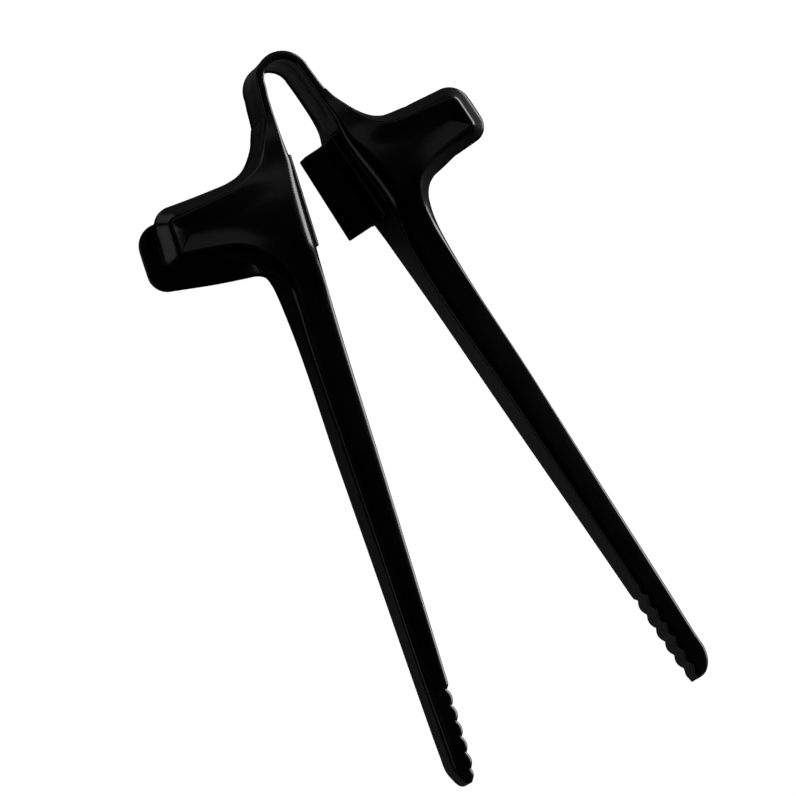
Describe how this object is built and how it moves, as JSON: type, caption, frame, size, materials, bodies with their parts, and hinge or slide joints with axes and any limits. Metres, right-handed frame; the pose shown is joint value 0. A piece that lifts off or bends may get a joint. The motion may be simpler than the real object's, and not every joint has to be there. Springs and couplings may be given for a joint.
{
  "type": "finger-worn print tongs",
  "caption": "Sprung U-bow tongs with two tapered arms, toothed jaws, an open finger clip on each arm, and a guide tongue that enters a slotted pad as they close.",
  "frame": {"origin": "middle of the footprint, on the plane that the rear finger plates lie on", "axes": "+Y along the tongs towards the spring bow, -Y towards the jaws, +X towards the right arm, which carries the guide tongue, +Z from the rear plates to the front plates"},
  "size_m": [0.0562, 0.1148, 0.0165],
  "materials": {
    "moulding": "gloss black moulded plastic with a faint moulded texture",
    "guide": "gloss black moulded plastic, rubbed slightly duller where the tongue and its slot slide"
  },
  "bodies": {
    "left_half": {"spring_bow": "moulding", "left_arm": "moulding", "left_jaw": "moulding", "left_front_finger_plate": "moulding", "left_rear_finger_plate": "moulding", "left_slot_housing": "guide"},
    "right_half": {"right_arm": "moulding", "right_jaw": "moulding", "right_front_finger_plate": "moulding", "right_rear_finger_plate": "moulding", "right_guide_pad": "moulding", "right_guide_tongue": "guide"}
  },
  "joints": [
    {"name": "bow_flex", "type": "hinge", "parent": "left_half", "child": "right_half", "pos_m": [0.00187, 0.05317, 0.00825], "axis": [0, 0, -1], "range_deg": [-6, 19.5], "stiffness_Nm_per_rad": 0.25, "deforming": ["spring_bow"]}
  ]
}
